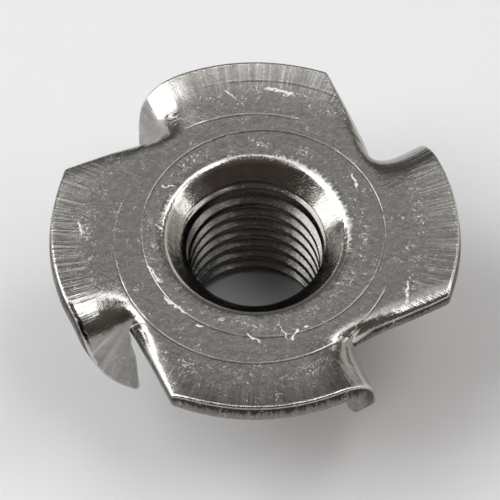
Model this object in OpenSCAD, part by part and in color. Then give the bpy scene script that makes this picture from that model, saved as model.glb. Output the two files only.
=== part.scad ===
// Four-prong tee nut, pressed from one disc of stainless sheet.
// A threaded barrel is drawn down from the middle of a round flange.
// Four slits in the rim free four tongues, each folded down into a prong.
// Origin: centre of the barrel's lower end, on the bore axis. +Z up. Millimetres.

/* [Flange] */
// Outside diameter of the flange, across the rim
flange_d = 22; // [20:0.1:28]
// Thickness of the sheet
sheet = 1.2; // [0.9:0.05:1.5]
// Rounding of the rim's upper and lower edges
rim_round = 0.28; // [0.1:0.01:0.4]

/* [Barrel] */
// Overall height, from the barrel's lower end to the flange's top
height = 9.6; // [8.5:0.1:14]
// Outside diameter of the barrel
barrel_d = 10; // [9.4:0.1:12]
// Diameter of the bore at the crests of its fine 8 mm thread
bore_d = 6.8; // [6.4:0.05:7]
// Width of the drawn mouth's flare, from the bore out to the flat of the flange
mouth_flare = 1.73; // [1.2:0.01:1.9]
// Slope of the flare, down from the flange's top
mouth_angle = 44; // [36:1:52]
// Rounding of the mouth's edge, from the flat of the flange into the flare
mouth_round = 0.6; // [0.3:0.05:0.9]
// Rounding of the corner between the barrel and the flange's underside
neck_round = 0.5; // [0.2:0.05:0.8]
// Chamfer of the barrel's lower outer edge
end_chamfer = 0.4; // [0.1:0.05:0.6]
// Chamfer of the bore's lower edge, cut before threading
bore_chamfer = 0.6; // [0.2:0.05:0.7]

/* [Prongs] */
// Number of prongs, evenly spaced
prong_count = 4; // [3:1:4]
// Distance of each slit from the axis, as a share of the flange's radius
slit_share = 0.7227; // [0.68:0.0001:0.78]
// Width of the slit left between the flange and the folded tongue
slit_gap = 0.1; // [0.05:0.01:0.3]
// Angle round the fold at which the slit stops, its root staying whole as far as this
root_angle = 50; // [35:1:55]
// Direction of the first fold line, anticlockwise from +X
fold_angle = 24.4; // [0:0.1:90]
// Outer radius of the fold
fold_round = 2; // [1.6:0.05:2.4]
// Angle the tongue is folded through
fold_bend = 81; // [70:1:90]
// Amount the shearing takes off each face of the prong past the fold
blade_thin = 0.05; // [0.03:0.01:0.1]
// Length taken off the prong's sheared tip
tip_cut = 0.45; // [0.2:0.05:1.5]

/* [Hidden] */
$fn = 96;
flange_r = flange_d / 2;
barrel_r = barrel_d / 2;
bore_r = bore_d / 2;
mouth_r = bore_r + mouth_flare;
under_z = height - sheet;
fold_z = height - fold_round;
fold_in = fold_round - sheet;
// length of flat sheet used up by the fold, along its middle line
fold_flat = (fold_round - sheet / 2) * fold_bend * PI / 180;
// inner edge and length of the tongue, and the straight part of the prong past the fold
slit_offset = slit_share * flange_r;
tongue_x = slit_offset + slit_gap;
slit_len = sqrt(flange_r * flange_r - tongue_x * tongue_x);
prong_len = slit_len - fold_flat - tip_cut;
// the prong starts this far back, inside the fold
blade_lap = 0.6 * sqrt(2 * fold_round * blade_thin);
// the slit's root starts this far round the fold, is thinner by this on each face, and runs this
// far into the flange and into the tongue
root_start = 15;
root_thin = 0.05;
root_lap = 0.04;
steel = [0.64, 0.63, 0.60];
eps = 0.01;
// where the flare leaves the rounded edge, just inside it, and where it meets the bore
flare_x = mouth_r - (mouth_round - eps) * sin(mouth_angle);
flare_z = height - mouth_round + (mouth_round - eps) * cos(mouth_angle);
flare_end = flare_z - (flare_x - bore_r) * tan(mouth_angle);

// Flange in section, from the axis out to the rounded rim.
module flange_section() {
  translate([0, under_z])
    square([flange_r - rim_round, sheet]);
  translate([0, under_z + rim_round])
    square([flange_r, sheet - 2 * rim_round]);
  translate([flange_r - rim_round, under_z + rim_round])
    circle(r = rim_round);
  translate([flange_r - rim_round, height - rim_round])
    circle(r = rim_round);
}

// Barrel in section, with the rounded neck under the flange and the lower chamfer.
module barrel_section() {
  difference() {
    square([barrel_r, under_z + eps]);
    polygon([
      [barrel_r - end_chamfer, -eps],
      [barrel_r + eps, -eps],
      [barrel_r + eps, end_chamfer],
      [barrel_r, end_chamfer],
      [barrel_r - end_chamfer, 0]
    ]);
  }
  difference() {
    translate([barrel_r - eps, under_z - neck_round])
      square([neck_round + eps, neck_round + eps]);
    translate([barrel_r + neck_round, under_z - neck_round])
      circle(r = neck_round);
  }
}

// Everything inside the wall: bore, flared mouth with its rounded edge, and lower chamfer.
module bore_section() {
  translate([0, -1])
    square([bore_r, height + 2]);
  difference() {
    polygon([
      [0, flare_end],
      [bore_r, flare_end],
      [flare_x, flare_z],
      [mouth_r, height - mouth_round],
      [mouth_r, height + 1],
      [0, height + 1]
    ]);
    translate([mouth_r, height - mouth_round])
      circle(r = mouth_round);
  }
  polygon([
    [0, -eps],
    [bore_r + bore_chamfer + eps, -eps],
    [bore_r, bore_chamfer],
    [0, bore_chamfer]
  ]);
}

// Flange, mouth and barrel turned about the bore axis.
module drawn_body() {
  rotate_extrude()
    difference() {
      union() {
        flange_section();
        barrel_section();
      }
      bore_section();
    }
}

// Room the folded tongue leaves in the rim, open from the slit outwards.
module tongue_gap() {
  translate([slit_offset, 0, under_z - 1])
    cube([flange_r, flange_r, sheet + 2]);
}

// The folded part of the tongue, trimmed by the rim it was part of.
module tongue_fold() {
  intersection() {
    translate([0, 0, fold_z])
      rotate([0, -90, 0])
        rotate_extrude(angle = fold_bend)
          translate([fold_in, -flange_r - 1])
            square([sheet, flange_r + 1 - tongue_x]);
    translate([0, 0, under_z - fold_round])
      cylinder(r = flange_r, h = fold_round + sheet + 1);
  }
}

// Root of the slit: the sheet left whole between the flange and the first part of the fold,
// drawn a little thinner there.
module slit_root() {
  translate([0, 0, fold_z])
    rotate([0, -90, 0])
      rotate([0, 0, root_start])
        rotate_extrude(angle = root_angle - root_start)
          translate([fold_in + root_thin, -tongue_x - root_lap])
            square([sheet - 2 * root_thin, slit_gap + 2 * root_lap]);
}

// The straight part of the tongue: half of the segment that the slit cuts off.
module tongue_blade() {
  translate([0, 0, fold_z])
    rotate([-fold_bend, 0, 0])
      translate([0, 0, fold_in + blade_thin])
        linear_extrude(height = sheet - 2 * blade_thin)
          intersection() {
            translate([0, -fold_flat])
              circle(r = flange_r - blade_thin, $fn = 144);
            translate([tongue_x + blade_thin, -blade_lap])
              square([flange_r, prong_len + blade_lap]);
          }
}

module tee_nut() {
  color(steel)
    union() {
      difference() {
        drawn_body();
        for (k = [0 : prong_count - 1])
          rotate([0, 0, fold_angle + k * 360 / prong_count])
            tongue_gap();
      }
      for (k = [0 : prong_count - 1])
        rotate([0, 0, fold_angle + k * 360 / prong_count]) {
          tongue_fold();
          slit_root();
          tongue_blade();
        }
    }
}

tee_nut();
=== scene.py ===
"""Four-prong tee nut: one stamped piece of stainless sheet, with its floor, lamps and camera."""
import math
from functools import reduce

import bmesh
import bpy
import numpy as np
from bpy.props import FloatProperty, FloatVectorProperty, IntProperty, PointerProperty
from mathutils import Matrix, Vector


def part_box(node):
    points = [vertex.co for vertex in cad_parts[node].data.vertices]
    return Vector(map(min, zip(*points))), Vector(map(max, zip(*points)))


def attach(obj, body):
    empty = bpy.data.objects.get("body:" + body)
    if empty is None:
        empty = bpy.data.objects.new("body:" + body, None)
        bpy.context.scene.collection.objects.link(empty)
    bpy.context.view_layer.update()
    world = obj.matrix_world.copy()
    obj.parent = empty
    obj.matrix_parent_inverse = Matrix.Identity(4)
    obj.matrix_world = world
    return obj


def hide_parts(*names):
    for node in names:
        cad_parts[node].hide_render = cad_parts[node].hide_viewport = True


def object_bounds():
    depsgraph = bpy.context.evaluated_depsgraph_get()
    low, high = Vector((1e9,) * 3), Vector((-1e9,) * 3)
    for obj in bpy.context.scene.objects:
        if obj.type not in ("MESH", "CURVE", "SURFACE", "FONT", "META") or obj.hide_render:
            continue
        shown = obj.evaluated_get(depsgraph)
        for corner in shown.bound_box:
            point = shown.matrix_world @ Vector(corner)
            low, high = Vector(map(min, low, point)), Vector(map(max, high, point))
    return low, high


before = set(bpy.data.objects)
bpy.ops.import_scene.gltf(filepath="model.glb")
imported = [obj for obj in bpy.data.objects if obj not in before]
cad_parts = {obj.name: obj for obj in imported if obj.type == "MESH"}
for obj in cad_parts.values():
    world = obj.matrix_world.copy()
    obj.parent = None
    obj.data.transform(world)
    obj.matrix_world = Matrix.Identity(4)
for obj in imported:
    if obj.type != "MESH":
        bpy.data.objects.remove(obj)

bl_info = {
    "name": "Tee nut",
    "version": (1, 0, 0),
    "blender": (4, 5, 0),
    "location": "3D View > Sidebar > Tee nut",
    "description": "Builds a pressed four-prong tee nut with its thread, and a plain stage for it",
    "category": "Add Mesh",
}

MM = 0.001
NODE = "tee_nut"
# Points of two surfaces that lie closer than this are the same point.
SAME_POINT = 0.0004 * MM
CAD_BOX = [list(corner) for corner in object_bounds()]
NODE_LOW, NODE_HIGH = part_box(NODE)
FLANGE_DIAMETER = NODE_HIGH[0] - NODE_LOW[0]
OVERALL_HEIGHT = NODE_HIGH[2]

# Each prong came out of the tool a little differently: the direction of its fold line and the angle it is
# folded through, then in millimetres how far its slit is from the axis, and how far past the fold line the
# slit starts. Up to there the sheet was drawn down whole, not sheared.
FOLD_DIRECTION = np.radians([25.4, 114.4, 204.3, 295.2])
FOLD_THROUGH = np.radians([81.0, 83.0, 80.5, 80.0])
SLIT_FROM_AXIS = np.array([7.93, 7.96, 8.16, 7.84])
SLIT_ROOT = np.array([2.2, 2.2, 2.2, 2.0])
# The flange's side of each slit: radius of its rolled edge, and how far its top face is drawn down.
SLIT_ROLL = np.array([0.16, 0.16, 0.18, 0.18])
SLIT_DRAW = np.array([0.10, 0.10, 0.17, 0.33])
# The folds: how bright each was rubbed, how much further round it starts at the rim than beside its slit,
# and the half length over which its curvature eases in, beside its slit and out at the rim.
FOLD_RUBBED = np.array([0.35, 1.0, 1.0, 0.35])
RIM_LAG = np.array([0.0, 0.0, 0.40, 0.0])
FOLD_EASE = ((0.40, 0.80), (0.50, 1.30), (0.75, 1.15), (0.40, 0.80))
# The tongues: length sheared off the point, and how far the inner edge leans toward the axis.
TIP_OFF = np.array([0.0, 0.0, 0.15, 0.0])
TIP_LEAN = np.array([0.0, 0.0, 0.26, 0.0])
PRONGS = len(FOLD_DIRECTION)
LEFT_PRONG = 2

# What the mesh carries at each point: masks of the sheared, polished and burnished zones, and its place
# beside the nearest fold in the flat blank: along it, across it, and FOLD_MARK times the fold's number.
ZONES = ("cut", "polish", "burnish")
BESIDE = "beside_fold"
FOLD_MARK = 7.0

# Deep nicks in the flange's top, each an arc: compass angle from +X anticlockwise in degrees, distance from
# the axis in millimetres at its start and end, angle it runs over, and width.
NICKS = (
    (198.6, 6.02, 5.82, 13.0, 0.101),
    (217.8, 6.21, 6.09, 16.3, 0.095),
    (240.6, 6.50, 6.30, 4.3, 0.081),
    (265.0, 6.20, 6.77, 8.0, 0.081),
    (282.0, 5.80, 6.90, 4.0, 0.074),
    (286.0, 6.90, 6.30, 5.0, 0.074),
    (293.7, 6.35, 6.35, 3.2, 0.081),
    (28.5, 6.24, 6.44, 8.3, 0.081),
    (144.5, 5.24, 5.90, 4.6, 0.081),
    (76.1, 9.09, 9.27, 11.6, 0.101),
    (96.6, 8.60, 9.40, 4.2, 0.081),
    (173.0, 5.37, 4.97, 3.0, 0.074),
    (324.0, 5.25, 5.65, 2.5, 0.081),
    (331.0, 9.20, 8.60, 9.0, 0.081),
    (175.0, 9.45, 9.20, 6.0, 0.081),
)

# Fine scratches, in sets: direction in radians, how closely they lie, and the noise level they start at.
SCRATCHES = ((0.5, 1.0, 0.63), (1.35, 1.3, 0.64), (2.6, 0.8, 0.64), (2.0, 2.2, 0.62))

# Distance from the axis, in the flat blank, of the crack along the left prong's outer edge.
CRACK_RADIUS = 10.74

# Tool rings in the flange's top: centre and radius in millimetres, width of the groove, depth, and the
# middle and half span in degrees of the part of the circle that shows.
RINGS = (
    ((0.43, 0.09, 0), 6.5, 0.035, 1.1, 0, 200),
    ((0, -0.54, 0), 7.5, 0.045, 0.8, 250, 95),
    ((0, 0, 0), 7.62, 0.05, 0.5, 95, 28),
    ((0.05, 0, 0), 9.75, 0.06, 0.5, 80, 30),
)

# The room. Angles are in degrees, and a compass angle of 0 is the back, 90 the right. Each lamp has its
# compass angle, height angle, width and height, how bright it looks and its colour. All aim at a point on
# the axis, this far up.
LAMPS_AIM = 6.0 * MM
LAMPS = (
    ("left window", -84, 44, (44, 32), 4.0, (1.0, 1.0, 1.0)),
    ("right window", 90, 29, (15, 42), 2.0, (1.0, 0.99, 0.98)),
)
# Each patch of the room has the compass angle of its middle, half its width, its lowest and highest height
# angle, the softness of its edge, how bright it looks and its colour. Between them lies an even tone.
ROOM_LEVEL, ROOM_TINT = 0.19, (1.0, 0.97, 0.91)
ROOM = (
    ("ceiling", 0, 180, 72, 91, 10, 0.10, (1.0, 1.0, 1.0)),
    ("high back", 0, 60, 48, 64, 8, 0.27, (1.0, 0.99, 0.97)),
    ("low back", 0, 55, 14, 49, 8, 0.13, (1.0, 0.97, 0.93)),
    ("high left back", -36, 24, 47, 66, 8, 0.42, (1.0, 0.99, 0.97)),
    ("top back", 0, 55, 66, 78, 7, 1.8, (1.0, 1.0, 1.0)),
    ("left ceiling", -92, 44, 58, 72, 7, 1.55, (1.0, 1.0, 1.0)),
    ("low left window", -87, 14, 5, 27, 6, 4.0, (1.0, 1.0, 1.0)),
    ("right lamp", 58, 18, 50, 72, 8, 3.6, (1.0, 0.99, 0.97)),
    ("dark front", 180, 58, 4, 70, 10, 0.10, (1.0, 0.80, 0.70)),
    ("high right", 86, 37, 65, 79, 5, 2.7, (1.0, 1.0, 1.0)),
    ("front ceiling", 112, 15, 58, 69, 6, 3.2, (1.0, 1.0, 1.0)),
    ("front strip", 186, 42, 60, 68, 5, 0.15, (1.0, 1.0, 1.0)),
    ("low right window", 84, 12, 6, 24, 6, 1.8, (1.0, 0.98, 0.94)),
    ("low right", 58, 34, 2, 24, 8, 0.80, (1.0, 0.96, 0.90)),
)
# The camera's aim from the axis, on the plane of the flange's top: a little left and in front.
AIM = (-0.2717 * MM, -0.9780 * MM)


# ---------------------------------------------------------------- sizes and colours

def length_property(name, description, default):
    """A size in metres."""
    return FloatProperty(name=name, description=description, default=default, unit="LENGTH", precision=5)


def angle_property(name, description, degrees):
    """An angle, given in degrees."""
    return FloatProperty(name=name, description=description, default=math.radians(degrees), subtype="ANGLE")


def roughness_property(name, description, default):
    """A roughness, from 0.02, which is nearly a mirror, to 1, which is matt."""
    return FloatProperty(
        name=name, description=description, default=default, min=0.02, max=1, subtype="FACTOR")


def colour_property(name, description, default):
    """A colour, as linear red, green and blue."""
    return FloatVectorProperty(
        name=name, description=description, default=default, subtype="COLOR", size=3, min=0, max=1)


class NutSizes(bpy.types.PropertyGroup):
    """Sizes of the nut."""
    flange_diameter: length_property("Flange diameter", "Across the round rim", FLANGE_DIAMETER)
    height: length_property("Height", "From the barrel's lower end to the flange's top", OVERALL_HEIGHT)
    sheet: length_property("Sheet", "Thickness of the flange and prongs", 0.0012)
    barrel_diameter: length_property("Barrel diameter", "Outside of the drawn barrel", 0.010)
    bore_diameter: length_property("Bore diameter", "Across the thread's crests", 0.0068)
    thread_diameter: length_property("Thread diameter", "Across the thread's roots", 0.0080)
    thread_pitch: length_property("Thread pitch", "Rise of the thread in one turn", 0.00106)
    mouth_flare: length_property(
        "Mouth flare", "Width of the flared mouth, from the bore out to the flange's flat", 0.00173)
    mouth_slope: angle_property("Mouth slope", "Slope of the flare below the flange's top", 44)
    mouth_round: length_property("Mouth rounding", "Radius of the mouth's edge", 0.0006)
    neck_round: length_property("Neck rounding", "Radius between barrel and flange underside", 0.0005)
    fold_round: length_property("Fold radius", "Outer radius of the prongs' folds", 0.0020)
    rim_round: length_property("Rim rounding", "Radius of the rim's upper and lower edges", 0.00017)
    slit_gap: length_property("Slit width", "Gap between the flange and the folded tongue", 0.0001)
    lobe_steps: IntProperty(
        name="Steps round a quarter", description="Divisions round each quarter of the flange",
        default=60, min=16, max=90)


class NutLooks(bpy.types.PropertyGroup):
    """Colours and finish of the nut."""
    steel: colour_property("Steel", "Colour of the tumbled stainless surface", (0.36, 0.348, 0.328))
    sheared: colour_property("Sheared edge", "Colour of the torn, duller cut faces", (0.195, 0.174, 0.155))
    burnished: colour_property(
        "Burnished steel", "Colour of the folds and rolled edges, rubbed bright by the tools",
        (0.60, 0.585, 0.56))
    # painted glints: the nicks, burr and sparkling specks are painted in this near-white colour
    torn: colour_property("Nicks and burrs", "Colour of torn specks that catch the light", (0.95, 0.94, 0.92))
    satin: roughness_property("Satin", "Roughness of the tumbled flats", 0.30)
    polish: roughness_property("Tool polish", "Roughness where the tools rubbed: mouth, folds and rim", 0.11)


class StageLooks(bpy.types.PropertyGroup):
    """The floor and the view."""
    floor: colour_property("Floor", "Colour of the floor", (0.878, 0.882, 0.894))
    camera_distance: length_property("Camera distance", "From the camera to the middle of the flange", 0.45)
    camera_height_angle: angle_property("Camera elevation", "Angle of the view above the floor", 58.2)
    view_width: length_property("View width", "Width that the view takes in at the flange", 0.02664)


# ---------------------------------------------------------------- shape: small helpers

def ease(t):
    """Smooth step: 3t^2 - 2t^3 on t limited to 0..1."""
    t = np.clip(t, 0.0, 1.0)
    return t * t * (3.0 - 2.0 * t)


def bell(t):
    """Gaussian bell: e to the power of minus t squared."""
    return np.exp(-t * t)


def into_fold(x, y, k):
    """Blank coordinates seen from fold k: s outwards along the fold line, w across it, anticlockwise."""
    c, n = math.cos(FOLD_DIRECTION[k]), math.sin(FOLD_DIRECTION[k])
    return x * c + y * n, -x * n + y * c


def from_fold(s, w, k):
    """The way back from fold k's coordinates to the blank's."""
    c, n = math.cos(FOLD_DIRECTION[k]), math.sin(FOLD_DIRECTION[k])
    return s * c - w * n, s * n + w * c


def running_sum(values, step):
    """Trapezoid rule: the running sum of the means of neighbouring values, times the step, from 0."""
    return np.concatenate([[0], np.cumsum((values[1:] + values[:-1]) / 2)]) * step


def along(points, count, weight=None):
    """Places count + 1 points at equal steps of arc length, or of arc length times a weight, on a line."""
    step = np.linalg.norm(np.diff(points, axis=0), axis=1)
    if weight is not None:
        step = step * 0.5 * (weight[1:] + weight[:-1])
    run = np.concatenate([[0.0], np.cumsum(step)])
    want = np.linspace(0.0, run[-1], count + 1)
    return np.stack([np.interp(want, run, points[:, i]) for i in range(points.shape[1])], -1)


def coons(low, high, left, right):
    """Coons patch: the two ruled surfaces between opposite sides, less the corners' bilinear patch."""
    u = np.linspace(0, 1, len(low))[:, None, None]
    v = np.linspace(0, 1, len(left))[None, :, None]
    ruled_v = (1 - v) * low[:, None] + v * high[:, None]
    ruled_u = (1 - u) * left[None] + u * right[None]
    flat = ((1 - u) * (1 - v) * low[0] + u * (1 - v) * low[-1]
            + (1 - u) * v * high[0] + u * v * high[-1])
    return ruled_v + ruled_u - flat


# ---------------------------------------------------------------- shape: the nut

class Nut:
    """Millimetre sizes of the nut, and the surfaces that are worked out from them."""

    def __init__(self, z):
        self.rim_r = z.flange_diameter / MM / 2
        self.top = z.height / MM
        self.sheet = z.sheet / MM
        self.barrel_r = z.barrel_diameter / MM / 2
        self.bore_r = z.bore_diameter / MM / 2
        self.root_r = z.thread_diameter / MM / 2
        self.pitch = z.thread_pitch / MM
        self.mouth = z.mouth_round / MM
        self.slope = z.mouth_slope
        self.mouth_r = self.bore_r + z.mouth_flare / MM
        self.neck = z.neck_round / MM
        self.fold_r = z.fold_round / MM
        self.rim_e = z.rim_round / MM
        self.gap = z.slit_gap / MM
        # the flange's rise towards the rim: a dish, and a coined band, each from its own distance outwards
        self.dish, self.dish_r = 0.10, 5.4
        self.coin, self.coin_r = 0.13, 9.75
        # how far the rim's top edge lies inside its widest part
        self.slant = 0.09
        # edge rounding at a slit's root, round a tongue's point, and along every lower edge
        self.root_e, self.tongue_e, self.low_e = 0.05, 0.10, 0.16
        # rounding of the corner between slit and rim, and of the tongue's point, seen from above
        self.corner, self.nose = 0.35, 0.20
        # below the flange's top: where the grid of the thread starts, and the middle of its first groove
        self.thread_start, self.groove_depth = 0.50, 1.03
        self.end_chamfer = 0.4
        # divisions round a quarter, across a lobe's side, and along a tongue
        self.around, self.across, self.tongue = z.lobe_steps, 28, 56
        self.angles = np.concatenate([self.quarter(k)[:-1] for k in range(PRONGS)])
        self.laws = [[self.bend_law(k, soft) for soft in FOLD_EASE[k]] for k in range(PRONGS)]
        self.grids = []

    def quarter(self, k):
        """Angles of the quarter that ends at slit k's root, in equal steps from the root before it."""
        roots = FOLD_DIRECTION + np.arctan2(SLIT_ROOT + self.gap / 2, SLIT_FROM_AXIS + self.gap / 2)
        return np.linspace(roots[k - 1] - (2 * math.pi if k == 0 else 0), roots[k], self.around + 1)

    # -- the fold

    def bend_law(self, k, soft):
        """Follows the sheet's middle line through fold k. Its curvature is level over the fold and eases in
        and out over twice soft. The direction is the running sum of the curvature, and the place the running
        sum of the direction's cosine and sine."""
        # along the flat sheet, from before the fold to past the longest tongue
        t = np.linspace(-1.6, 9.2, 2161)
        step = t[1] - t[0]
        mid = self.fold_r - self.sheet / 2
        length = mid * FOLD_THROUGH[k]
        curve = (ease((t + soft) / (2 * soft)) - ease((t - length + soft) / (2 * soft))) / mid
        angle = running_sum(curve, step)
        return t, angle, running_sum(np.cos(angle), step) + t[0], running_sum(np.sin(angle), step)

    def form(self, xy, depth):
        """Carries a point of the flat blank, depth below its upper face, to its place in the pressed nut.
        Past a fold line and outside the slit the sheet follows the bend law, tighter beside the slit and
        softer towards the rim. Short of the slit's root the sheet is whole, so the drop eases in across the
        line of the slit; past the root the two sides part over a short length. Beside a slit the flange's
        top face is drawn down by the square of nearness. The flange rises outwards by the square of
        distance, and again at the rim."""
        x, y = xy[..., 0], xy[..., 1]
        depth = np.broadcast_to(depth, x.shape)
        px, py, pz = x.copy(), y.copy(), -depth
        for k in range(PRONGS):
            s, w = into_fold(x, y, k)
            u, past = s - SLIT_FROM_AXIS[k], w - SLIT_ROOT[k]
            outside = u > self.gap / 2

            # share of the fold that the sheet takes here: drawn short of the slit's root, over a width that
            # narrows along the slit, and all or nothing past the root
            width = 1.2 + 1.3 * (1 - ease(w / 2.4))
            drawn = ease((u + 0.55) / width)
            parted = ease(past / np.where(outside, 0.9, 1.5))
            taken = (drawn + (outside - drawn) * parted) * (w > -1.5) * (s > 0)

            # distance run round the fold, and where its law takes that, square to the middle line
            short = TIP_OFF[k] * (np.clip(past / 4.2, 0, 1) ** 1.3 * outside) ** 2
            lag = RIM_LAG[k] * ease((u - 1.1) / 1.4) * (1 - ease((w - 1.0) / 1.8)) * ease((w + 1.2) / 1.2)
            run, soft = w - short - lag, ease(u / 1.6)
            (t, *tight), (_, *loose) = self.laws[k]
            angle, across, down = [
                (1 - soft) * np.interp(run, t, a) + soft * np.interp(run, t, b) for a, b in zip(tight, loose)]
            out = self.sheet / 2 - depth
            new_w = across + out * np.sin(angle)
            new_z = -self.sheet / 2 - down + out * np.cos(angle)
            lean = -TIP_LEAN[k] * ease(past / 2.2) * outside * (1 - ease(u / 2.5))
            dx, dy = from_fold(lean, (new_w - w) * taken, k)
            px, py, pz = px + dx, py + dy, pz + (new_z + depth) * taken

            # the flange's side of the slit, drawn down unevenly along its length
            draw = SLIT_DRAW[k] * (1 + 0.18 * np.sin(2.3 * past + 1.7 * k)) * ease((past + 0.1) / 0.9)
            rolled = 0.85
            near = np.clip((u + rolled) / rolled, 0, 1) ** 2 * (u < self.gap / 2) * (s > 0)
            pz = pz - draw * near * (1 - depth / self.sheet)
        r = np.hypot(x, y)
        dished = np.clip((r - self.dish_r) / (self.rim_r - self.dish_r), 0, None)
        coined = np.clip((r - self.coin_r) / (self.rim_r - self.coin_r), 0, None)
        return np.stack([px, py, pz + self.top + self.dish * dished ** 2 + self.coin * coined ** 1.1], -1)

    # -- the outline of the flat blank, in runs of points with x, y, inward normal and edge rounding

    def outline(self, k):
        """The outline over the quarter that ends at fold k, as five runs: the flange's side of the slit
        before, the rim to fold k, then the tongue's rim, nose and slit."""
        runs = [self.flange_side(k - 1), self.rim_to_fold(k), *self.tongue_sides(k)]
        for run in runs:
            run[:, 2:4] /= np.linalg.norm(run[:, 2:4], axis=1, keepdims=True)
        return runs

    def run(self, s, w, ns, nw, e, k, count, weight=None):
        """A run given beside fold k, with count + 1 points spread along it by their weight."""
        full = np.stack([*from_fold(s, w, k), *from_fold(ns, nw, k), np.broadcast_to(e, s.shape)], -1)
        return along(full, count, weight)

    def corner_at(self, k):
        """The rounded corner between the flange's side of slit k and the rim: the place of its centre, from
        the right triangle with the rim's radius less the corner's, and the angle that it turns through."""
        s = SLIT_FROM_AXIS[k] - self.corner
        w = math.sqrt((self.rim_r - self.corner) ** 2 - s ** 2)
        return s, w, math.atan2(w, s)

    def flange_side(self, k):
        """The flange's side of slit k: half the slit's rounded end, its straight side, and half the rounded
        corner at the rim. The points crowd at the end and the corner."""
        half, slit = self.gap / 2, SLIT_FROM_AXIS[k]
        lip = SLIT_ROOT[k] + half
        cs, cw, turn = self.corner_at(k)
        a = np.radians(np.linspace(-90, -180, 13))
        w = np.linspace(lip, cw, 60)[1:]
        b = np.linspace(0, turn / 2, 8)[1:]
        s_all = np.concatenate([
            slit + half + half * np.cos(a), np.full(len(w), slit), cs + self.corner * np.cos(b)])
        w_all = np.concatenate([lip + half * np.sin(a), w, cw + self.corner * np.sin(b)])
        ns = np.concatenate([np.cos(a), np.full(len(w), -1.0), -np.cos(b)])
        nw = np.concatenate([np.sin(a), np.zeros(len(w)), -np.sin(b)])
        past = np.clip(w_all - lip, 0, None)
        swell = 0.12 * bell((past - 0.9) / 0.9)
        e = self.root_e + ease(past / 0.8) * (SLIT_ROLL[k] - self.root_e + swell)
        e = e + (self.rim_e - e) * ease((w_all - cw + 0.8) / 0.8)
        weight = 1 + 7 * bell((w_all - lip) / 0.35) + 5 * bell((w_all - cw) / 0.4)
        weight[:len(a)] = 22
        return self.run(s_all, w_all, ns, nw, e, k, self.across, weight)

    def rim_to_fold(self, k):
        """The rest of the corner at the slit before, then the rim as far as tongue k, where it is level with
        the root of the tongue's slit. The points crowd at the corner and over the fold."""
        cs, cw, turn = self.corner_at(k - 1)
        c = np.linspace(turn / 2, turn, 8)
        x, y = from_fold(cs + self.corner * np.cos(c), cw + self.corner * np.sin(c), k - 1)
        nx, ny = from_fold(-np.cos(c), -np.sin(c), k - 1)
        start = math.atan2(y[-1], x[-1])
        stop = FOLD_DIRECTION[k] + math.asin(SLIT_ROOT[k] / self.rim_r)
        start += 2 * math.pi * round((stop - 0.8 - start) / (2 * math.pi))
        d = np.linspace(start, stop, 180)[1:]
        full = np.stack([
            np.concatenate([x, self.rim_r * np.cos(d)]), np.concatenate([y, self.rim_r * np.sin(d)]),
            np.concatenate([nx, -np.cos(d)]), np.concatenate([ny, -np.sin(d)]),
            np.full(len(c) + len(d), self.rim_e)], -1)
        bend = ease((d - stop + 0.36) / 0.06)
        weight = np.concatenate([np.full(len(c), 3.0), 1 + 2 * bell((d - start) / 0.05) + 1.4 * bend])
        return along(full, self.around, weight)

    def tongue_sides(self, k):
        """Tongue k in three runs: its rim, its rounded nose, and its slit with the other half of the slit's
        end, where the points crowd."""
        half, slit, rim = self.gap / 2, SLIT_FROM_AXIS[k], self.rim_r
        lip = SLIT_ROOT[k] + half
        ts = slit + self.gap + self.nose
        tw = math.sqrt((rim - self.nose) ** 2 - ts ** 2)
        tip = math.atan2(tw, ts)
        g = np.linspace(math.asin(SLIT_ROOT[k] / rim), tip, 120)
        e = self.rim_e + (self.tongue_e - self.rim_e) * ease((rim * np.sin(g) - SLIT_ROOT[k]) / 2.2)
        tongue_rim = self.run(
            rim * np.cos(g), rim * np.sin(g), -np.cos(g), -np.sin(g), e, k, self.tongue)
        h = np.linspace(tip, math.pi, 40)
        nose = self.run(ts + self.nose * np.cos(h), tw + self.nose * np.sin(h),
                        -np.cos(h), -np.sin(h), self.tongue_e, k, self.across)
        w = np.linspace(tw, lip, 140)
        a = np.radians(np.linspace(0, -90, 13))[1:]
        s_all = np.concatenate([np.full(len(w), slit + self.gap), slit + half + half * np.cos(a)])
        w_all = np.concatenate([w, lip + half * np.sin(a)])
        ns = np.concatenate([np.ones(len(w)), np.cos(a)])
        nw = np.concatenate([np.zeros(len(w)), np.sin(a)])
        e = self.root_e + (self.tongue_e - self.root_e) * ease((w_all - lip) / 0.8)
        weight = 1 + 2 * bell((w_all - lip) / 1.0) + 8 * bell((w_all - lip) / 0.3)
        weight[-len(a):] = 20
        return tongue_rim, nose, self.run(s_all, w_all, ns, nw, e, k, self.tongue, weight)

    # -- grids of points, kept with their zone masks

    def keep(self, points, xy=None, cut=0.0, polish=0.0, burnish=0.0):
        """Stores a grid of points; its faces join each point with the next along both directions. Given the
        blank's x and y, it also stores where each point lies beside the nearest fold, and which fold."""
        size = points.shape[:2]
        zone = [np.broadcast_to(np.asarray(v, float), size).ravel() for v in (cut, polish, burnish)]
        place = np.zeros(size + (3,))
        if xy is not None:
            nearest = np.full(size, np.inf)
            for k in range(PRONGS):
                s, w = into_fold(xy[..., 0], xy[..., 1], k)
                nearer = (np.abs(w) < nearest) & (s > 0)
                nearest = np.where(nearer, np.abs(w), nearest)
                here = np.stack([s, w, np.full(size, FOLD_MARK * k)], -1)
                place = np.where(nearer[..., None], here, place)
        self.grids.append((points, zone, place.reshape(-1, 3)))

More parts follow.
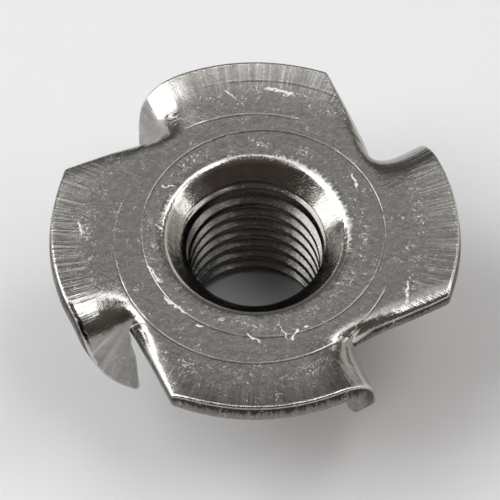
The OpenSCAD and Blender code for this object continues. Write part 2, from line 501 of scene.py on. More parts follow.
    def face_of_sheet(self, low, inner_r, rows):
        """Upper or lower face of the sheet: a ring from the inner circle to a dipped curve, then as Coons
        patches four sectors from there to the slits, rim and fold lines, and the four tongues."""
        depth = self.sheet if low else 0.0
        for k in range(PRONGS):
            edges = [r[:, :2] + r[:, 2:4] * (self.edge_of(r, low) + (not low) * self.slant_of(i))[:, None]
                     for i, r in enumerate(self.runs[k])]
            slit_in, rim_in, trim_in, nose_in, tslit_in = edges
            root = tslit_in[-1]
            fold = root + (rim_in[-1] - root) * np.linspace(0, 1, self.across + 1)[:, None]
            a = self.quarter(k)
            t = np.linspace(0, 1, self.around + 1)
            r0, r1 = np.linalg.norm(slit_in[0]), np.linalg.norm(root)
            mid_r = r0 + (r1 - r0) * t - 1.5 * (4 * t * (1 - t)) ** 0.8
            mid = np.stack([mid_r * np.cos(a), mid_r * np.sin(a)], -1)
            mid[0], mid[-1] = slit_in[0], root
            inner = inner_r * np.stack([np.cos(a), np.sin(a)], -1)
            v = (1 - (1 - np.linspace(0, 1, rows + 1)) ** 1.5)[None, :, None]
            ring = inner[:, None] * (1 - v) + mid[:, None] * v
            sector = coons(mid, rim_in, slit_in, fold)
            tongue = coons(tslit_in[::-1], trim_in, fold, nose_in[::-1])
            for patch, is_tongue in ((ring, False), (sector, False), (tongue, True)):
                bent, onset = (0.0, 0.0) if low else self.rubbed(patch, k, is_tongue)
                self.keep(self.form(patch, depth), patch, polish=bent, burnish=onset)

    def rubbed(self, patch, k, is_tongue):
        """Where the tools rubbed the upper face, as products of smooth steps along and across a fold: the
        whole bent part of fold k, and its bright onset, each with the drawn edge beside the slit before."""
        s, w = into_fold(patch[..., 0], patch[..., 1], k)
        bent = ease((w + 0.9) / 0.8) * (1 - ease((w - 2.6) / 1.0)) * ease((s - SLIT_FROM_AXIS[k] + 0.7) / 0.5)
        onset = bent * (1 - ease((w - 0.9) / 0.7)) * FOLD_RUBBED[k]
        before = k - 1
        s, w = into_fold(patch[..., 0], patch[..., 1], before)
        roll = ease((s - SLIT_FROM_AXIS[before] + 0.62) / 0.4) * ease((w - SLIT_ROOT[before] + 0.5) / 0.6)
        roll = roll * (not is_tongue) * (w < 9) * SLIT_DRAW[before] / 0.3
        return np.maximum(bent, roll), np.maximum(onset, roll)

    def edge_of(self, run, low):
        """Edge rounding along a run: the upper edge's own, or a smaller one below, where the shear broke."""
        return np.minimum(run[:, 4], self.low_e) if low else run[:, 4]

    def slant_of(self, i):
        """How far the rim's top edge lies inside its widest part, along run i: full on the rim, easing to
        nothing at the slit's corner and towards the tongue's point."""
        step = np.arange(len(self.runs[0][i]))
        if i == 1:
            return self.slant * ease(step / 14)
        if i == 2:
            return self.slant * (1 - ease(step / 48))
        return 0.0 * step

    def edges_of_sheet(self):
        """Edge band: a quarter round from the upper face, the sheared side with its torn lower half, and a
        small quarter round to the lower face, carried along the outline and formed with the sheet."""
        for k in range(PRONGS):
            for i, r in enumerate(self.runs[k]):
                top_e, low_e = self.edge_of(r, False)[:, None], self.edge_of(r, True)[:, None]
                a = np.radians(np.linspace(0, 90, 6))[None]
                b = np.radians(np.linspace(0, 90, 5))[None]
                side = np.linspace(0, 1, 5)[None, 1:-1]
                slant = self.slant_of(i)[:, None]
                inset = np.concatenate([
                    top_e * (1 - np.sin(a)) + slant, slant * (1 - side) ** 1.5, low_e * (1 - np.cos(b))], 1)
                depth = np.concatenate([
                    top_e * (1 - np.cos(a)), top_e + (self.sheet - low_e - top_e) * side,
                    self.sheet - low_e * (1 - np.sin(b))], 1)
                xy = r[:, None, :2] + r[:, None, 2:4] * inset[..., None]
                share = depth / self.sheet
                torn_from = 0.12
                cut = np.clip((share - torn_from) / (1 - torn_from), 0, 1)
                roll = 1 - ease((share - 0.03) / 0.10)
                self.keep(self.form(xy, depth), xy, cut=cut, polish=roll * 0.8, burnish=roll)

    def turned(self, radius, z, **zones):
        """Surface of revolution: the profile's radius and height, carried round the axis."""
        a = np.append(self.angles, self.angles[0])[:, None]
        radius, z = np.asarray(radius)[None], np.asarray(z)[None]
        height = np.broadcast_to(z, (len(a), z.shape[1]))
        points = np.stack([radius * np.cos(a), radius * np.sin(a), height], -1)
        self.keep(points, **{n: np.asarray(v)[None] for n, v in zones.items()})

    def hole(self, depth):
        """Radius of the hole before threading, at a depth below the flange's top: the mouth's rounded edge,
        its cone, a lip where the cone turns into the wall, and a wall that narrows below the lip."""
        turn_depth = self.mouth * (1 - math.cos(self.slope))
        arc = self.mouth_r - np.sqrt(np.clip(self.mouth ** 2 - (self.mouth - depth) ** 2, 0, None))
        cone = self.mouth_r - self.mouth * math.sin(self.slope) - (depth - turn_depth) / math.tan(self.slope)
        flare = np.where(depth < turn_depth, arc, cone)
        # the wall stands this much outside the crests, and more just under the lip, which is rounded
        wall = self.bore_r + 0.04 + 0.24 * (1 - ease((depth - 1.6) / 1.1))
        soft = 0.035
        return wall + 0.5 * (flare - wall + np.sqrt((flare - wall) ** 2 + 4 * soft ** 2))

    def mouth_surface(self):
        """Mouth: its rounded edge, then its cone down to the thread's grid. The radius is the hole's."""
        turn_depth = self.mouth * (1 - math.cos(self.slope))
        swing = np.linspace(0, self.slope, 9)
        cone = np.linspace(turn_depth, self.thread_start, 4)[1:]
        depth = np.append(self.mouth * (1 - np.cos(swing)), cone)
        self.turned(self.hole(depth), self.top - depth, polish=np.ones(len(depth)),
                    burnish=ease(depth / 0.02) * (1 - ease((depth - 0.10) / 0.14)))

    def thread_surface(self):
        """Thread: a groove with straight flanks winds up the hole; its place down the wall falls by one pitch
        a turn. The radius is the hole's or the groove's, whichever is larger, and rows of the grid follow the
        groove's corners. At the lower end a chamfer is wider than both."""
        start, stop = self.thread_start, self.top
        a = np.append(self.angles, self.angles[0] + 2 * math.pi)
        rise = self.pitch * (a - math.pi / 2) / (2 * math.pi)
        turns = np.arange(-2, int((stop - start) / self.pitch) + 3)
        root = self.groove_depth + turns[None] * self.pitch - rise[:, None]
        half = self.pitch / 16
        lean = math.tan(math.radians(30))
        # the flanks rise to meet the hole's wall, which narrows on the way down: found by coming nearer
        upper, lower = root - half, root + half
        for _ in range(12):
            up_r = self.hole(np.clip(upper, 0, None))
            low_r = self.hole(np.clip(lower, 0, None))
            upper = root - half - np.clip(self.root_r - up_r, 0.02, None) * lean
            lower = root + half + np.clip(self.root_r - low_r, 0.02, None) * lean
        # rows of the grid across one turn: beside both corners, up the flanks and along the groove's flat
        step = 0.035
        up_bit = np.clip(0.3 * (root - half - upper), 0.004, step)
        low_bit = np.clip(0.3 * (lower - root - half), 0.004, step)
        rows = [upper - step, upper, upper + up_bit, 0.5 * (upper + up_bit + root - half), root - half,
                root + half, 0.5 * (lower - 2 * low_bit + root + half), lower - 2 * low_bit, lower - low_bit,
                lower, lower + step]
        next_upper = np.concatenate([upper[:, 1:], upper[:, -1:] + self.pitch], 1)
        rows.append(0.5 * (lower + next_upper))
        place = np.stack(rows, -1).reshape(len(a), -1)
        groove = self.root_r - np.clip(np.abs(place - np.repeat(root, len(rows), 1)) - half, 0, None) / lean
        snap = 0.004
        held = np.where(place < start + snap, start, np.where(place > stop - snap, stop, place))
        radius = np.maximum(self.hole(held), groove)
        radius = np.maximum(radius, self.root_r - (self.top - held))
        radius = np.where(held == start, self.hole(start), radius)
        radius = np.where(held == stop, self.root_r, radius)
        points = np.stack([radius * np.cos(a)[:, None], radius * np.sin(a)[:, None], self.top - held], -1)
        self.keep(points, polish=(1 - ease((held - 0.8) / 0.8)) * 0.6 + 0.4)

    def barrel_surface(self):
        """Outside of the barrel: neck rounding, plain wall, lower chamfer and the ring face at the end."""
        under = self.top - self.sheet
        a = np.linspace(math.pi / 2, math.pi, 8)
        r = self.barrel_r + self.neck + self.neck * np.cos(a)
        z = under - self.neck + self.neck * np.sin(a)
        cut = self.end_chamfer
        wall = np.linspace(under - self.neck, cut, 9)[1:]
        t = np.linspace(0, 1, 4)[1:]
        r = np.concatenate([r, np.full(len(wall), self.barrel_r), self.barrel_r - cut * t,
                            self.barrel_r - cut + (self.root_r - self.barrel_r + cut) * t])
        z = np.concatenate([z, wall, cut * (1 - t), 0 * t])
        self.turned(r[::-1], z[::-1])

    def build(self):
        """All surfaces of the nut, one after another."""
        self.runs = [self.outline(k) for k in range(PRONGS)]
        self.face_of_sheet(False, float(self.hole(np.array(0.0))), 12)
        self.face_of_sheet(True, self.barrel_r + self.neck, 6)
        self.edges_of_sheet()
        self.mouth_surface()
        self.thread_surface()
        self.barrel_surface()
        return self.grids


def mesh_from_grids(name, grids):
    """Joins grids into one mesh, merges their shared borders, and carries the masks as point attributes."""
    points, zones, places, faces, base = [], [], [], [], 0
    for grid, zone, place in grids:
        rows, cols = grid.shape[:2]
        i = np.arange(rows * cols).reshape(rows, cols) + base
        faces.append(np.stack([i[:-1, :-1], i[1:, :-1], i[1:, 1:], i[:-1, 1:]], -1).reshape(-1, 4))
        points.append(grid.reshape(-1, 3))
        zones.append(np.stack(zone, -1))
        places.append(place)
        base += rows * cols
    points, zones, places, faces = (np.concatenate(a) for a in (points, zones, places, faces))
    mesh = bpy.data.meshes.new(name)
    mesh.vertices.add(len(points))
    mesh.vertices.foreach_set("co", (points * MM).astype(np.float32).ravel())
    mesh.loops.add(len(faces) * 4)
    mesh.loops.foreach_set("vertex_index", faces.astype(np.int32).ravel())
    mesh.polygons.add(len(faces))
    mesh.polygons.foreach_set("loop_start", np.arange(0, len(faces) * 4, 4, dtype=np.int32))
    for i, zone in enumerate(ZONES):
        layer = mesh.attributes.new(zone, "FLOAT", "POINT")
        layer.data.foreach_set("value", zones[:, i].astype(np.float32))
    layer = mesh.attributes.new(BESIDE, "FLOAT_VECTOR", "POINT")
    layer.data.foreach_set("vector", places.astype(np.float32).ravel())
    mesh.update(calc_edges=True)
    mesh.validate()
    work = bmesh.new()
    work.from_mesh(mesh)
    bmesh.ops.remove_doubles(work, verts=work.verts, dist=SAME_POINT)
    bmesh.ops.recalc_face_normals(work, faces=work.faces)
    open_edges = sum(1 for e in work.edges if len(e.link_faces) != 2)
    print("nut mesh: verts", len(work.verts), "faces", len(work.faces),
          "edges not shared by two faces", open_edges)
    work.to_mesh(mesh)
    work.free()
    mesh.polygons.foreach_set("use_smooth", np.ones(len(mesh.polygons), dtype=bool))
    mesh.update()
    return mesh


# ---------------------------------------------------------------- materials: helpers

class Net:
    """Short ways to add and join shader nodes in one node tree."""

    def __init__(self, tree):
        self.tree = tree

    def put(self, kind, inputs=None, **settings):
        """Adds a node, applies its settings, then sets or links its inputs."""
        node = self.tree.nodes.new(kind)
        for name, value in settings.items():
            setattr(node, name, value)
        for key, value in (inputs or {}).items():
            if isinstance(value, bpy.types.NodeSocket):
                self.tree.links.new(value, node.inputs[key])
            else:
                node.inputs[key].default_value = value
        return node

    def math(self, operation, *values, clamp=False):
        """A Math node on one to three values."""
        inputs = dict(enumerate(values))
        return self.put("ShaderNodeMath", inputs, operation=operation, use_clamp=clamp).outputs[0]

    def product(self, *values):
        """The values multiplied together."""
        return reduce(lambda a, b: self.math("MULTIPLY", a, b), values)

    def largest(self, *values):
        """The largest of the values."""
        return reduce(lambda a, b: self.math("MAXIMUM", a, b), values)

    def total(self, *terms):
        """The sum of values, each times its amount."""
        return reduce(lambda a, b: self.math("ADD", a, b), [self.math("MULTIPLY", *term) for term in terms])

    def vector(self, operation, a, b=None, scale=None):
        """A Vector Math node; a length comes out as a value."""
        inputs = {i: v for i, v in ((0, a), (1, b), (3, scale)) if v is not None}
        node = self.put("ShaderNodeVectorMath", inputs, operation=operation)
        return node.outputs["Value" if operation == "LENGTH" else "Vector"]

    def parts(self, vector):
        """The X, Y and Z of a vector."""
        return self.put("ShaderNodeSeparateXYZ", {0: vector}).outputs

    def from_axis(self, vector):
        """Distance of a place from the Z axis."""
        return self.vector("LENGTH", self.vector("MULTIPLY", vector, (1, 1, 0)))

    def beyond(self, y, x, middle, half_span):
        """How far the compass angle of y over x lies past a half span on either side of a middle."""
        turned = self.math("SUBTRACT", self.math("ARCTAN2", y, x), middle)
        away = self.math("ABSOLUTE", self.math("WRAP", turned, math.pi, -math.pi))
        return self.math("SUBTRACT", away, half_span)

    def span(self, value, low, high, to_low=0.0, to_high=1.0, smooth=False):
        """Carries the range low..high to the range to_low..to_high, held at its ends."""
        return self.put("ShaderNodeMapRange", {
            "Value": value, "From Min": low, "From Max": high, "To Min": to_low, "To Max": to_high},
            interpolation_type="SMOOTHSTEP" if smooth else "LINEAR").outputs["Result"]

    def mix(self, factor, a, b):
        """Mixes two colours."""
        return self.put("ShaderNodeMix", {0: factor, 6: a, 7: b}, data_type="RGBA").outputs[2]

    def noise(self, vector, scale, detail=2.0, rough=0.5, distortion=0.0, output="Fac"):
        """Noise in a value, or in a colour for shifting places."""
        return self.put("ShaderNodeTexNoise", {
            "Vector": vector, "Scale": scale, "Detail": detail, "Roughness": rough,
            "Distortion": distortion}).outputs[output]

    def attribute(self, name, output="Fac"):
        """A zone mask or place that the mesh carries."""
        return self.put("ShaderNodeAttribute", attribute_name=name).outputs[output]

    def group(self, tree, label="", **inputs):
        """A node group's mask. Inputs are given by name, with _ for each space."""
        named = {key.replace("_", " "): value for key, value in inputs.items()}
        return self.put("ShaderNodeGroup", named, node_tree=tree, label=label).outputs[0]


def node_group(name, inputs, output, build):
    """A shader node group with named inputs and one mask out. Its nodes come from build(net, sockets)."""
    tree = bpy.data.node_groups.new(name, "ShaderNodeTree")
    for label, default in inputs.items():
        kind = "NodeSocketFloat" if isinstance(default, float) else "NodeSocketVector"
        socket = tree.interface.new_socket(name=label, in_out="INPUT", socket_type=kind)
        socket.default_value = default
    tree.interface.new_socket(name=output, in_out="OUTPUT", socket_type="NodeSocketFloat")
    net = Net(tree)
    net.put("NodeGroupOutput", {output: build(net, net.put("NodeGroupInput").outputs)})
    return tree


def empty_material(name):
    """A material with nothing in its node tree, and the Net that fills it."""
    material = bpy.data.materials.new(name)
    material.use_nodes = True
    material.node_tree.nodes.clear()
    return material, Net(material.node_tree)


def shade(colour, share=1.0):
    """A colour times a share, with full alpha."""
    return tuple(share * c for c in colour) + (1,)


# ---------------------------------------------------------------- materials: shared effects

ORIGIN = (0.0, 0.0, 0.0)


def scratch_group():
    """Fine straight scratches: noise stretched along one direction, of which only the highest parts show."""
    def lines(net, given):
        turned = net.put("ShaderNodeVectorRotate", {
            "Vector": given["Vector"], "Angle": given["Direction"]}, rotation_type="Z_AXIS").outputs[0]
        stretched = net.vector("MULTIPLY", turned, (0.45, 15.0, 6.0))
        fine = net.noise(net.vector("SCALE", stretched, scale=given["Spread"]), 1.0, 1.0)
        return net.span(fine, given["Threshold"], net.math("ADD", given["Threshold"], 0.07))

    return node_group("Fine scratches", {
        "Vector": ORIGIN, "Direction": 0.0, "Spread": 1.0, "Threshold": 0.62}, "Lines", lines)


def ring_group():
    """A tool mark: a thin circle at one radius round a centre in the flange's plane, broken up by noise and
    kept to a span of compass angle about a middle."""
    def line(net, given):
        away = net.vector("SUBTRACT", given["Vector"], given["Centre"])
        off = net.math("SUBTRACT", net.from_axis(away), given["Radius"])
        share = net.math("DIVIDE", off, given["Width"])
        groove = net.math("POWER", math.e, net.product(share, share, -1.0))
        broken = net.span(net.noise(given["Vector"], 1.1), 0.32, 0.52, 0.3, 1.0)
        part = net.parts(away)
        past = net.beyond(part["Y"], part["X"], given["Middle"], given["Half span"])
        return net.product(groove, broken, net.span(past, -0.3, 0.1, 1.0, 0.0, smooth=True))

    return node_group("Tool ring", {
        "Vector": ORIGIN, "Centre": ORIGIN, "Radius": 6.5, "Width": 0.05, "Middle": 0.0, "Half span": 4.0},
        "Line", line)


def arc_group():
    """One nick: an arc of given angle round the axis whose radius runs from a first to a last value, with
    ends and sides frayed by noise."""
    def mask(net, given):
        fray = net.noise(given["Vector"], 3.2, output="Color")
        shift = net.vector("SCALE", net.vector("SUBTRACT", fray, (0.5, 0.5, 0.5)), scale=0.42)
        there = net.vector("ADD", given["Vector"], shift)
        part = net.parts(there)
        turned = net.math("SUBTRACT", net.math("ARCTAN2", part["Y"], part["X"]), given["Start"])
        share = net.math("DIVIDE", net.math("WRAP", turned, math.pi, -math.pi), given["Run"])
        rise = net.product(net.math("SUBTRACT", given["Last radius"], given["First radius"]), share)
        middle = net.math("ADD", given["First radius"], rise)
        off = net.math("ABSOLUTE", net.math("SUBTRACT", net.from_axis(there), middle))
        side = net.math("SUBTRACT", 1.0, net.math("DIVIDE", off, given["Width"]))
        end = net.math("SUBTRACT", 0.5, net.math("ABSOLUTE", net.math("SUBTRACT", share, 0.5)))
        return net.product(
            net.math("MULTIPLY", side, 2.0, clamp=True), net.math("MULTIPLY", end, 8.0, clamp=True),
            net.span(net.noise(given["Vector"], 5.0), 0.30, 0.44))

    return node_group("Arc nick", {
        "Vector": ORIGIN, "Start": 0.0, "Run": 0.2, "First radius": 6.0, "Last radius": 6.0, "Width": 0.06},
        "Mask", mask)


def burr_group():
    """Teeth round the mouth's edge: a ring whose width outwards follows noise taken round the circle,
    present only over a span of compass angle."""
    def mask(net, given):
        flat = net.vector("MULTIPLY", given["Vector"], (1, 1, 0))
        teeth = net.span(net.noise(net.vector("NORMALIZE", flat), 26.0, 4.0, 0.8), 0.38, 0.70, -0.2, 1.0)
        past = net.math("SUBTRACT", net.vector("LENGTH", flat), given["Radius"])
        reach = net.math("SUBTRACT", net.product(teeth, given["Length"]), past)
        part = net.parts(flat)
        outside = net.beyond(part["Y"], part["X"], given["Middle"], given["Half span"])
        worn = net.span(net.noise(given["Vector"], 5.0, 3.0, 0.6), 0.35, 0.6, 0.25, 1.0)
        return net.product(net.span(reach, 0.0, 0.07), net.span(past, -0.12, 0.0),
                           net.span(outside, -0.25, 0.1, 1.0, 0.0, smooth=True), worn)

    return node_group("Mouth burr", {
        "Vector": ORIGIN, "Radius": 5.1, "Length": 0.5, "Middle": 0.0, "Half span": 1.0}, "Mask", mask)


def nick_group():
    """Nicks: raised and torn specks where a fine cell pattern passes a threshold inside coarser patches."""
    def specks(net, given):
        bent = net.vector("ADD", given["Vector"], net.noise(given["Vector"], 2.2, 1.0, output="Color"))
        cells = net.put("ShaderNodeTexVoronoi", {"Vector": bent, "Scale": given["Size"]}, feature="F1")
        edge = net.math("SUBTRACT", 0.75, net.product(given["Amount"], 0.4))
        there = net.span(net.noise(given["Vector"], 1.6, 3.0, 0.6), edge, net.math("ADD", edge, 0.08))
        return net.product(net.span(cells.outputs["Distance"], 0.16, 0.36, 1.0, 0.0), there)

    return node_group("Nicks", {"Vector": ORIGIN, "Size": 4.0, "Amount": 0.5}, "Specks", specks)


def crack_group():
    """The crack along the left prong's outer edge: a thin wandering line at one distance from the axis in
    the flat blank, over the first part of the fold. Takes the place beside the nearest fold."""
    def line(net, given):
        part = net.parts(given["Beside fold"])
        wander = net.span(net.noise(given["Vector"], 2.4, 3.0, 0.7), 0.3, 0.7, -0.06, 0.06)
        there = net.math("ADD", net.from_axis(given["Beside fold"]), wander)
        off = net.math("ABSOLUTE", net.math("SUBTRACT", there, CRACK_RADIUS))
        return net.product(
            net.span(off, 0.06, 0.13, 1.0, 0.0), net.span(part["Y"], 0.15, 0.35),
            net.span(part["Y"], 1.8, 2.2, 1.0, 0.0),
            net.math("COMPARE", part["Z"], FOLD_MARK * LEFT_PRONG, 0.5))

    return node_group("Fold crack", {"Vector": ORIGIN, "Beside fold": ORIGIN}, "Line", line)


def streak_group():
    """Short radial drag marks on the coined rim: noise taken round the circle, beyond an uneven radius."""
    def streaks(net, given):
        compass = net.vector("NORMALIZE", net.vector("MULTIPLY", given["Vector"], (1, 1, 0)))
        place = net.vector("ADD", compass, net.vector("SCALE", given["Vector"], scale=0.004))
        uneven = net.math("ADD", net.from_axis(given["Vector"]), net.product(given["Cloud"], 1.6))
        fine = net.noise(place, 55.0, 3.0, 0.6)
        return net.product(net.span(fine, 0.45, 0.70), net.span(uneven, 9.6, 10.4))

    return node_group("Rim streaks", {"Vector": ORIGIN, "Cloud": 0.5}, "Streaks", streaks)


# ---------------------------------------------------------------- materials: steel and floor

def steel_specks(net, mm, rings, polish):
    """All the raised marks that are painted near white as glints: scattered specks, denser round the worn
    band and the mouth, the separate nicks, and the burr on both sides of the mouth."""
    nicks, arcs, burr = nick_group(), arc_group(), burr_group()
    deep = net.largest(*(
        net.group(arcs, Vector=mm, Start=math.radians(start), Run=math.radians(run),
                  First_radius=first, Last_radius=last, Width=width)
        for start, first, last, run, width in NICKS))
    torn_edge = net.largest(
        net.group(burr, Vector=mm, Radius=5.02, Length=0.46, Middle=0.62, Half_span=0.85),
        net.group(burr, Vector=mm, Radius=5.08, Length=0.30, Middle=2.80, Half_span=0.22))
    bands = net.largest(
        net.group(rings, Vector=mm, Radius=8.95, Width=0.45),
        net.group(rings, Vector=mm, Radius=5.75, Width=0.30))
    scattered = net.product(net.group(nicks, Vector=mm, Size=5.5, Amount=0.50), 0.6)
    dense = net.product(net.group(nicks, Vector=mm, Size=5.2, Amount=0.74), bands)
    loose = net.product(net.largest(scattered, dense), net.math("SUBTRACT", 1.0, polish))
    # nicks and burr are marks in the flange's top, and don't show on the barrel below it
    on_top = net.span(net.parts(mm)["Z"], 8.0, 8.4)
    return net.largest(loose, net.product(net.largest(deep, torn_edge), on_top))


def steel_rings(net, mm, rings):
    """Depth of the tool rings in the flange's top."""
    return net.largest(*(
        net.product(net.group(rings, Vector=mm, Centre=centre, Radius=radius, Width=width,
                              Middle=math.radians(middle), Half_span=math.radians(half_span)), depth)
        for centre, radius, width, depth, middle, half_span in RINGS))


def steel_material(looks):
    """Tumbled stainless steel: satin flats with fine scratches, nicks and tool rings, polished where the
    tools rubbed, and dull torn metal on the sheared edges, with painted shade under their top edge. Painted
    shade darkens the bore and the crack, and the specks, nicks and burr are painted near white as glints."""
    material, net = empty_material("tumbled stainless steel")
    place = net.put("ShaderNodeTexCoord").outputs["Object"]
    mm = net.put("ShaderNodeMapping", {"Vector": place, "Scale": (1 / MM,) * 3}).outputs[0]
    down_cut, polish, burnish = (net.attribute(name) for name in ZONES)
    beside = net.attribute(BESIDE, "Vector")
    cut = net.span(down_cut, 0.0, 0.06)

    # patterns and marks
    scratches = scratch_group()
    lines = net.largest(*(
        net.group(scratches, Vector=mm, Direction=direction, Spread=spread, Threshold=threshold)
        for direction, spread, threshold in SCRATCHES))
    rings = ring_group()
    specks = steel_specks(net, mm, rings, polish)
    ring = steel_rings(net, mm, rings)
    grain = net.noise(mm, 9.0, 4.0, 0.7)
    cloud = net.noise(mm, 0.8, 4.0, 0.62)
    mottle = net.noise(mm, 2.6, 3.0, 0.6)
    drag = net.noise(net.vector("MULTIPLY", mm, (5.0, 5.0, 0.7)), 1.0, 4.0, 0.65)
    torn = net.noise(mm, 5.0, 4.0, 0.7, 0.8)
    along_fold = net.noise(net.vector("MULTIPLY", beside, (11.0, 0.8, 1.0)), 1.0, 3.0, 0.6)
    draw_lines = net.product(along_fold, burnish)
    crack = net.group(crack_group(), Vector=mm, Beside_fold=beside)
    streaks = net.product(net.group(streak_group(), Vector=mm, Cloud=cloud), net.math("SUBTRACT", 1.0, cut))
    # painted shade: the steel down the bore, below the mouth, is painted at half its colour
    bore_painted_shade = net.product(net.span(net.from_axis(mm), 4.0, 4.12, 1.0, 0.0),
                            net.span(net.parts(mm)["Z"], 8.2, 8.7, 1.0, 0.0))

    # colour: mottled satin, then the sheared faces with painted shade under their top edge, painted shade
    # down the bore, what was rubbed bright, painted shade in the crack, and specks painted near white as
    # glints
    worn = net.total((cloud, 0.5), (mottle, 0.5))
    colour = net.mix(net.span(worn, 0.38, 0.62), shade(looks.steel), shade(looks.steel, 0.74))
    # painted shade: each sheared face is painted darkest just under its top edge, a dark reflection painted
    # in, and lighter towards the bottom
    ragged = net.math("ADD", down_cut, net.span(drag, 0.3, 0.7, -0.30, 0.25))
    sheared = net.mix(net.span(ragged, 0.22, 0.48), shade(looks.sheared, 0.16), shade(looks.sheared))
    sheared = net.mix(net.span(ragged, 0.5, 1.0), sheared, shade(looks.sheared, 1.5))
    for mask, over in (
            (cut, sheared), (bore_painted_shade, shade(looks.steel, 0.5)),
            (net.product(streaks, 0.5), shade(looks.burnished)), (burnish, shade(looks.burnished)),
            # painted glints: the specks are painted near white
            # painted shade: the crack is painted near black, besides its sunken relief
            (crack, shade(looks.sheared, 0.25)), (specks, shade(looks.torn))):
        colour = net.mix(mask, colour, over)

    # roughness
    rough = net.math("ADD", looks.satin, net.span(grain, 0.3, 0.7, -0.05, 0.06))
    rough = net.math("ADD", rough, net.span(cloud, 0.3, 0.7, -0.03, 0.04))
    rough = net.total((rough, 1.0), (polish, looks.polish - looks.satin), (cut, 0.12), (lines, -0.06))
    rough = net.math("ADD", rough, net.product(specks, net.math("SUBTRACT", 0.85, rough)), clamp=True)

    # relief, in units of the bump's distance
    height = net.total(
        (grain, 0.16), (mottle, 1.6), (lines, -0.20), (ring, -2.6), (specks, 1.0), (draw_lines, 0.9),
        (crack, -4.0), (streaks, 0.9), (net.product(cut, torn), 2.5), (net.product(cut, drag), 2.0))
    bump = net.put("ShaderNodeBump", {"Strength": 0.8, "Distance": 0.012 * MM, "Height": height})
    # painted glints: the specks lose most of their metal sheen, so their near-white colour shows bright
    shader = net.put("ShaderNodeBsdfPrincipled", {
        "Base Color": colour, "Roughness": rough, "Normal": bump.outputs[0],
        "Metallic": net.math("SUBTRACT", 1.0, net.product(specks, 0.6))})
    net.put("ShaderNodeOutputMaterial", {"Surface": shader.outputs[0]})
    return material


def floor_material(looks):
    """Plain pale floor, matt, with a trace of unevenness in its tone."""
    material, net = empty_material("pale floor")
    cloud = net.noise(net.put("ShaderNodeTexCoord").outputs["Object"], 40.0, 3.0)
    colour = net.mix(net.span(cloud, 0.3, 0.7, 0.0, 0.25), shade(looks.floor), shade(looks.floor, 0.97))
    shader = net.put("ShaderNodeBsdfPrincipled", {"Base Color": colour, "Roughness": 0.75})
    net.put("ShaderNodeOutputMaterial", {"Surface": shader.outputs[0]})
    return material


# ---------------------------------------------------------------- operators

class TEENUT_OT_nut(bpy.types.Operator):
    """Builds the tee nut: flange, folded prongs, drawn mouth, barrel and thread"""
    bl_idname = "tee_nut.build"
    bl_label = "Build the tee nut"
    bl_options = {"REGISTER", "UNDO"}

    def execute(self, context):
        nut = Nut(context.scene.nut_sizes)
        mesh = mesh_from_grids("tee_nut_pressed", nut.build())
        piece = bpy.data.objects.new("tee_nut_pressed", mesh)
        context.scene.collection.objects.link(piece)
        mesh.materials.append(steel_material(context.scene.nut_looks))
        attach(piece, "root")
        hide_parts(NODE)
        return {"FINISHED"}


def toward(azimuth, elevation):
    """Unit direction from a compass angle (0 is the back, 90 the right) and a height angle, in degrees."""
    az, el = math.radians(azimuth), math.radians(elevation)
    return Vector((math.sin(az) * math.cos(el), math.cos(az) * math.cos(el), math.sin(el)))


def softbox(name, azimuth, elevation, spread, radiance, tint):
    """A rectangular lamp one metre away. Spread is its angular width and height in degrees; its power
    follows from radiance, which is how bright its face looks."""
    lamp = bpy.data.lights.new(name, "AREA")
    lamp.shape = "RECTANGLE"
    lamp.size, lamp.size_y = (2 * math.tan(math.radians(a / 2)) for a in spread)
    lamp.energy = radiance * math.pi * lamp.size * lamp.size_y
    lamp.color = tint
    holder = bpy.data.objects.new(name, lamp)
    way = toward(azimuth, elevation)
    holder.location = way + Vector((0, 0, LAMPS_AIM))
    holder.rotation_euler = (-way).to_track_quat("-Z", "Y").to_euler()
    bpy.context.scene.collection.objects.link(holder)


def patch_group():
    """A soft-edged patch of the room: full inside a span of compass angle and a span of height, falling off
    over the softness, all in radians."""
    def mask(net, given):
        part = net.parts(given["Direction"])
        height = net.math("ARCSINE", part["Z"])
        outside = net.largest(
            net.beyond(part["X"], part["Y"], given["Azimuth"], given["Half width"]),
            net.math("SUBTRACT", height, given["High"]), net.math("SUBTRACT", given["Low"], height))
        return net.span(net.math("DIVIDE", outside, given["Softness"]), -0.5, 0.5, 1.0, 0.0, smooth=True)

    return node_group("Room patch", {
        "Direction": ORIGIN, "Azimuth": 0.0, "Half width": 0.5, "Low": 0.0, "High": 1.0, "Softness": 0.1},
        "Mask", mask)


def room():
    """The world: an even tone with the room's soft patches laid over it, one after another."""
    world = bpy.data.worlds.new("room")
    world.use_nodes = True
    world.node_tree.nodes.clear()
    net = Net(world.node_tree)
    direction = net.put("ShaderNodeTexCoord").outputs["Generated"]
    patch = patch_group()
    colour = shade(ROOM_TINT, ROOM_LEVEL)
    for name, azimuth, half, low, high, soft, radiance, tint in ROOM:
        mask = net.group(patch, label=name, Direction=direction, Azimuth=math.radians(azimuth),
                         Half_width=math.radians(half), Low=math.radians(low), High=math.radians(high),
                         Softness=math.radians(soft))
        colour = net.mix(mask, colour, shade(tint, radiance))
    back = net.put("ShaderNodeBackground", {"Color": colour, "Strength": 1.0})
    net.put("ShaderNodeOutputWorld", {"Surface": back.outputs[0]})
    return world


def camera_on(looks):
    """A camera in front of the aim, at its distance and elevation, with the view's width on the flange."""
    camera = bpy.data.cameras.new("camera")
    camera.lens = camera.sensor_width * looks.camera_distance / looks.view_width
    camera.dof.use_dof = False
    camera.clip_start, camera.clip_end = 0.01, 20.0
    holder = bpy.data.objects.new("camera", camera)
    back = toward(180, math.degrees(looks.camera_height_angle))
    holder.location = Vector((*AIM, OVERALL_HEIGHT)) + back * looks.camera_distance
    holder.rotation_euler = (-back).to_track_quat("-Z", "Y").to_euler()
    return holder


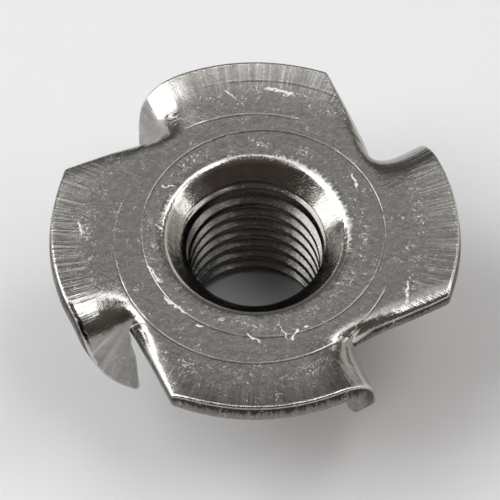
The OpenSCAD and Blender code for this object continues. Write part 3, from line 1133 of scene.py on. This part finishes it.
class TEENUT_OT_stage(bpy.types.Operator):
    """Adds the floor, the lamps, the world and the camera"""
    bl_idname = "tee_nut.stage"
    bl_label = "Set the stage"
    bl_options = {"REGISTER", "UNDO"}

    def execute(self, context):
        scene = context.scene
        looks = scene.stage_looks
        reach = 3.0
        mesh = bpy.data.meshes.new("floor")
        corners = [(-reach, -reach, 0), (reach, -reach, 0), (reach, reach, 0), (-reach, reach, 0)]
        mesh.from_pydata(corners, [], [(0, 1, 2, 3)])
        mesh.materials.append(floor_material(looks))
        floor = bpy.data.objects.new("floor", mesh)
        floor.location.z = CAD_BOX[0][2]
        scene.collection.objects.link(floor)
        for lamp in LAMPS:
            softbox(*lamp)
        scene.world = room()
        scene.camera = camera_on(looks)
        scene.collection.objects.link(scene.camera)
        scene.view_settings.view_transform = "Standard"
        return {"FINISHED"}


class TEENUT_PT_panel(bpy.types.Panel):
    """Sidebar panel with the nut's sizes, looks and operators"""
    bl_idname = "TEENUT_PT_panel"
    bl_label = "Tee nut"
    bl_space_type = "VIEW_3D"
    bl_region_type = "UI"
    bl_category = "Tee nut"

    def draw(self, context):
        layout = self.layout
        for group in (context.scene.nut_sizes, context.scene.nut_looks, context.scene.stage_looks):
            box = layout.box()
            for name in group.__annotations__:
                box.prop(group, name)
        layout.operator(TEENUT_OT_nut.bl_idname)
        layout.operator(TEENUT_OT_stage.bl_idname)


CLASSES = (NutSizes, NutLooks, StageLooks, TEENUT_OT_nut, TEENUT_OT_stage, TEENUT_PT_panel)


def register():
    """Adds the classes, and the sizes and looks on the scene."""
    for cls in CLASSES:
        bpy.utils.register_class(cls)
    bpy.types.Scene.nut_sizes = PointerProperty(type=NutSizes)
    bpy.types.Scene.nut_looks = PointerProperty(type=NutLooks)
    bpy.types.Scene.stage_looks = PointerProperty(type=StageLooks)


def unregister():
    """Takes away all that register adds."""
    del bpy.types.Scene.stage_looks
    del bpy.types.Scene.nut_looks
    del bpy.types.Scene.nut_sizes
    for cls in reversed(CLASSES):
        bpy.utils.unregister_class(cls)


def main():
    """Builds the nut and its stage."""
    register()
    bpy.ops.tee_nut.build()
    bpy.ops.tee_nut.stage()
    bpy.context.view_layer.update()


if __name__ == "__main__":
    main()
